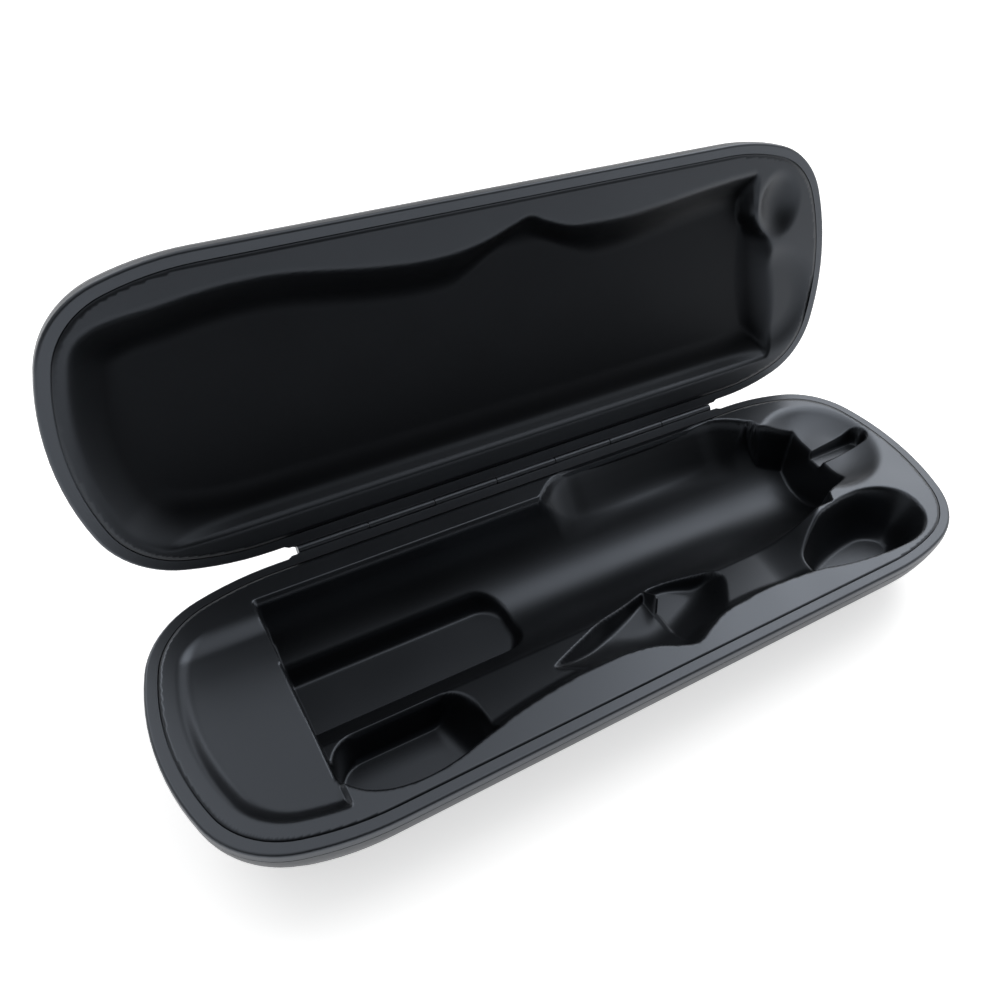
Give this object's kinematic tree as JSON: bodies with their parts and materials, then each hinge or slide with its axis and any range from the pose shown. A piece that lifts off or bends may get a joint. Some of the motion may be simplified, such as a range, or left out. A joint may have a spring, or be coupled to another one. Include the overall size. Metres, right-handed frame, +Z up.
{
  "type": "electric toothbrush travel case",
  "caption": "Hinged hard travel case for an electric toothbrush, satin black, open, with a formed tray and lid liner.",
  "frame": {"origin": "centre of the flat foot of the base", "axes": "+X along the case towards the end with the shaft slot, +Y from the front to the hinge, +Z up"},
  "size_m": [0.2362, 0.1233, 0.1122],
  "materials": {
    "shell_black": "satin",
    "rim_black": "satin",
    "tray_black": "satin",
    "magnet_nickel": "plated",
    "pin_steel": "ground"
  },
  "bodies": {
    "base": {"base_shell": "shell_black", "base_rim": "rim_black", "base_tray": "tray_black", "base_hinge_strip": "rim_black", "base_magnets": "magnet_nickel", "hinge_pin": "pin_steel"},
    "lid": {"lid_shell": "shell_black", "lid_rim": "rim_black", "lid_liner": "tray_black", "lid_hinge_strip": "rim_black", "lid_magnets": "magnet_nickel"}
  },
  "joints": [
    {"name": "lid_hinge", "type": "hinge", "parent": "base", "child": "lid", "pos_m": [0, 0.044, 0.0282], "axis": [1, 0, 0], "range_deg": [0, 103]}
  ]
}
